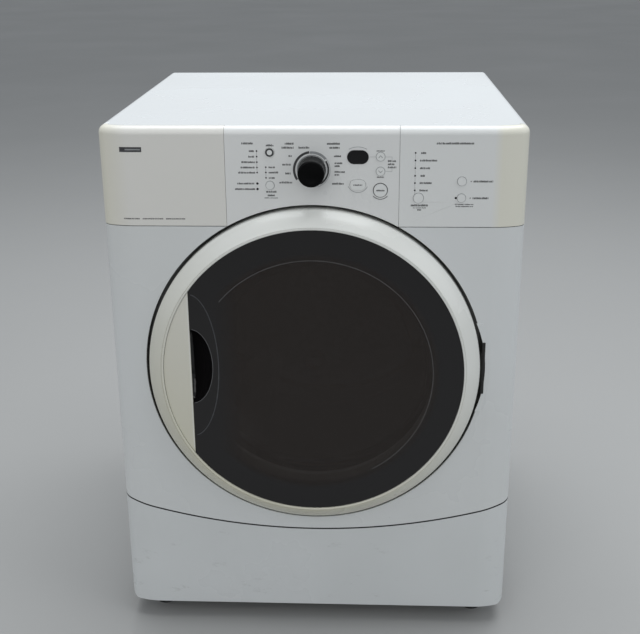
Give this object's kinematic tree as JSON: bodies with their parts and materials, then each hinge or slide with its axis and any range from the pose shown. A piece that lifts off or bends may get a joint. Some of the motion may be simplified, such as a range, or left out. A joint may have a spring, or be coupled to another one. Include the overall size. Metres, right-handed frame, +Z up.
{
  "type": "clothes dryer",
  "caption": "Front-loading clothes dryer with a round smoked door, a curved toe panel, a top console with a knob and push buttons, and a belt-driven drum.",
  "frame": {"origin": "on the floor, at the middle of the overall width and of the overall depth from the knob to the exhaust collar", "axes": "+Z up, +X to the right of a person facing the door, +Y from the door into the machine"},
  "size_m": [0.686, 0.747, 0.914],
  "materials": {
    "white_enamel": "glossy baked enamel",
    "galvanised_steel": "satin zinc coat",
    "bright_steel": "satin",
    "console_plastic": "satin moulded",
    "bezel_plastic": "satin moulded",
    "handle_plastic": "fine texture",
    "smoked_plastic": "polished, smoked",
    "black_plastic": "gloss",
    "button_plastic": "satin",
    "white_plastic": "gloss",
    "grey_plastic": "moulded",
    "lint_plastic": "moulded",
    "circuit_board": "lacquered",
    "felt": "felt",
    "rubber": "matt",
    "roller_rubber": "matt",
    "heater_wire": "oxidised",
    "motor_enamel": "satin",
    "clear_glass": "clear",
    "drum_enamel": "powder coat",
    "foot_plastic": "moulded"
  },
  "bodies": {
    "cabinet": {"top_panel": "white_enamel", "left_side_panel": "white_enamel", "right_side_panel": "white_enamel", "front_panel": "white_enamel", "toe_panel": "white_enamel", "rear_panel": "galvanised_steel", "base_pan": "galvanised_steel", "front_bulkhead": "galvanised_steel", "rear_bulkhead": "galvanised_steel", "console_left_panel": "console_plastic", "console_control_panel": "console_plastic", "console_right_panel": "console_plastic", "display_window": "smoked_plastic", "control_board": "circuit_board", "drum_seals": "felt", "door_gasket": "rubber", "lint_duct": "grey_plastic", "blower_housing": "grey_plastic", "exhaust_duct": "galvanised_steel", "heater_box": "galvanised_steel", "heating_element": "heater_wire", "motor_body": "motor_enamel", "drum_belt": "rubber", "roller_shafts": "bright_steel", "door_latch": "white_plastic", "hinge_bracket": "bright_steel", "idler_spring": "bright_steel"},
    "door": {"door_ring": "bezel_plastic", "door_window": "smoked_plastic", "door_handle_plate": "handle_plastic", "door_inner_panel": "white_plastic", "door_glass": "clear_glass", "door_strike": "bright_steel", "door_hinge_leaf": "bright_steel"},
    "drum": {"drum_shell": "drum_enamel", "drum_baffles": "grey_plastic"},
    "rotor": {"motor_shaft": "bright_steel", "blower_wheel": "grey_plastic"},
    "idler_arm": {"idler_arm": "galvanised_steel"},
    "idler_pulley": {"idler_pulley": "grey_plastic"},
    "lint_screen": {"lint_screen": "lint_plastic"},
    "door_switch_plunger": {"door_switch_plunger": "white_plastic"},
    "selector_knob": {"selector_knob": "black_plastic"},
    "power_button": {"power_button": "button_plastic"},
    "dryness_button": {"dryness_button": "button_plastic"},
    "time_up_button": {"time_up_button": "button_plastic"},
    "time_down_button": {"time_down_button": "button_plastic"},
    "start_button": {"start_button": "button_plastic"},
    "stop_button": {"stop_button": "button_plastic"},
    "temperature_button": {"temperature_button": "button_plastic"},
    "tumble_button": {"tumble_button": "button_plastic"},
    "signal_button": {"signal_button": "button_plastic"},
    "front_left_foot": {"front_left_foot": "foot_plastic"},
    "front_right_foot": {"front_right_foot": "foot_plastic"},
    "rear_left_foot": {"rear_left_foot": "foot_plastic"},
    "rear_right_foot": {"rear_right_foot": "foot_plastic"},
    "front_left_roller": {"front_left_roller": "roller_rubber"},
    "front_right_roller": {"front_right_roller": "roller_rubber"},
    "rear_left_roller": {"rear_left_roller": "roller_rubber"},
    "rear_right_roller": {"rear_right_roller": "roller_rubber"}
  },
  "joints": [
    {"name": "door_hinge", "type": "hinge", "parent": "cabinet", "child": "door", "pos_m": [0.284, -0.3385, 0.5095], "axis": [0, 0, 1], "range_deg": [0, 115]},
    {"name": "drum_spin", "type": "hinge", "parent": "cabinet", "child": "drum", "pos_m": [0, 0.0255, 0.504], "axis": [0, 1, 0], "continuous": true},
    {"name": "rotor_spin", "type": "hinge", "parent": "cabinet", "child": "rotor", "pos_m": [0.15, 0.0015, 0.126], "axis": [0, 1, 0], "continuous": true},
    {"name": "idler_arm_pivot", "type": "hinge", "parent": "cabinet", "child": "idler_arm", "pos_m": [0.102, 0.1275, 0.082], "axis": [0, -1, 0], "range_deg": [0, 15], "stiffness_Nm_per_rad": 3, "springref_deg": -8.59, "deforming": ["idler_spring"]},
    {"name": "idler_pulley_spin", "type": "hinge", "parent": "idler_arm", "child": "idler_pulley", "pos_m": [0.08, 0.1415, 0.133], "axis": [0, 1, 0], "continuous": true},
    {"name": "selector_knob_turn", "type": "hinge", "parent": "cabinet", "child": "selector_knob", "pos_m": [0, -0.3565, 0.846], "axis": [0, 1, 0], "continuous": true},
    {"name": "lint_screen_slide", "type": "slide", "parent": "cabinet", "child": "lint_screen", "axis": [0, 0, 1], "range_m": [0, 0.16]},
    {"name": "door_switch_travel", "type": "slide", "parent": "cabinet", "child": "door_switch_plunger", "axis": [0, -1, 0], "range_m": [0, 0.0042]},
    {"name": "front_left_roller_spin", "type": "hinge", "parent": "cabinet", "child": "front_left_roller", "pos_m": [-0.19232, -0.2085, 0.22934], "axis": [0, 1, 0], "continuous": true},
    {"name": "front_right_roller_spin", "type": "hinge", "parent": "cabinet", "child": "front_right_roller", "pos_m": [0.19232, -0.2085, 0.22934], "axis": [0, 1, 0], "continuous": true},
    {"name": "rear_left_roller_spin", "type": "hinge", "parent": "cabinet", "child": "rear_left_roller", "pos_m": [-0.19232, 0.2595, 0.22934], "axis": [0, 1, 0], "continuous": true},
    {"name": "rear_right_roller_spin", "type": "hinge", "parent": "cabinet", "child": "rear_right_roller", "pos_m": [0.19232, 0.2595, 0.22934], "axis": [0, 1, 0], "continuous": true},
    {"name": "power_button_press", "type": "slide", "parent": "cabinet", "child": "power_button", "axis": [0, 1, 0], "range_m": [0, 0.0015], "stiffness_N_per_m": 400, "springref_m": -0.0008},
    {"name": "dryness_button_press", "type": "slide", "parent": "cabinet", "child": "dryness_button", "axis": [0, 1, 0], "range_m": [0, 0.0015], "stiffness_N_per_m": 400, "springref_m": -0.0008},
    {"name": "time_up_button_press", "type": "slide", "parent": "cabinet", "child": "time_up_button", "axis": [0, 1, 0], "range_m": [0, 0.0015], "stiffness_N_per_m": 400, "springref_m": -0.0008},
    {"name": "time_down_button_press", "type": "slide", "parent": "cabinet", "child": "time_down_button", "axis": [0, 1, 0], "range_m": [0, 0.0015], "stiffness_N_per_m": 400, "springref_m": -0.0008},
    {"name": "start_button_press", "type": "slide", "parent": "cabinet", "child": "start_button", "axis": [0, 1, 0], "range_m": [0, 0.0015], "stiffness_N_per_m": 400, "springref_m": -0.0008},
    {"name": "stop_button_press", "type": "slide", "parent": "cabinet", "child": "stop_button", "axis": [0, 1, 0], "range_m": [0, 0.0015], "stiffness_N_per_m": 400, "springref_m": -0.0008},
    {"name": "temperature_button_press", "type": "slide", "parent": "cabinet", "child": "temperature_button", "axis": [0, 1, 0], "range_m": [0, 0.0015], "stiffness_N_per_m": 400, "springref_m": -0.0008},
    {"name": "tumble_button_press", "type": "slide", "parent": "cabinet", "child": "tumble_button", "axis": [0, 1, 0], "range_m": [0, 0.0015], "stiffness_N_per_m": 400, "springref_m": -0.0008},
    {"name": "signal_button_press", "type": "slide", "parent": "cabinet", "child": "signal_button", "axis": [0, 1, 0], "range_m": [0, 0.0015], "stiffness_N_per_m": 400, "springref_m": -0.0008},
    {"name": "front_left_foot_screw", "type": "slide", "parent": "cabinet", "child": "front_left_foot", "axis": [0, 0, 1], "range_m": [-0.02, 0]},
    {"name": "front_right_foot_screw", "type": "slide", "parent": "cabinet", "child": "front_right_foot", "axis": [0, 0, 1], "range_m": [-0.02, 0]},
    {"name": "rear_left_foot_screw", "type": "slide", "parent": "cabinet", "child": "rear_left_foot", "axis": [0, 0, 1], "range_m": [-0.02, 0]},
    {"name": "rear_right_foot_screw", "type": "slide", "parent": "cabinet", "child": "rear_right_foot", "axis": [0, 0, 1], "range_m": [-0.02, 0]}
  ],
  "couplings": [
    {"joint": "rotor_spin", "follows": "drum_spin", "ratio": 16.944},
    {"joint": "idler_pulley_spin", "follows": "drum_spin", "ratio": -19.062},
    {"joint": "door_switch_travel", "follows": "door_hinge", "m_per_rad": 0.002},
    {"joint": "front_left_roller_spin", "follows": "drum_spin", "ratio": -10.167},
    {"joint": "front_right_roller_spin", "follows": "drum_spin", "ratio": -10.167},
    {"joint": "rear_left_roller_spin", "follows": "drum_spin", "ratio": -10.167},
    {"joint": "rear_right_roller_spin", "follows": "drum_spin", "ratio": -10.167}
  ]
}
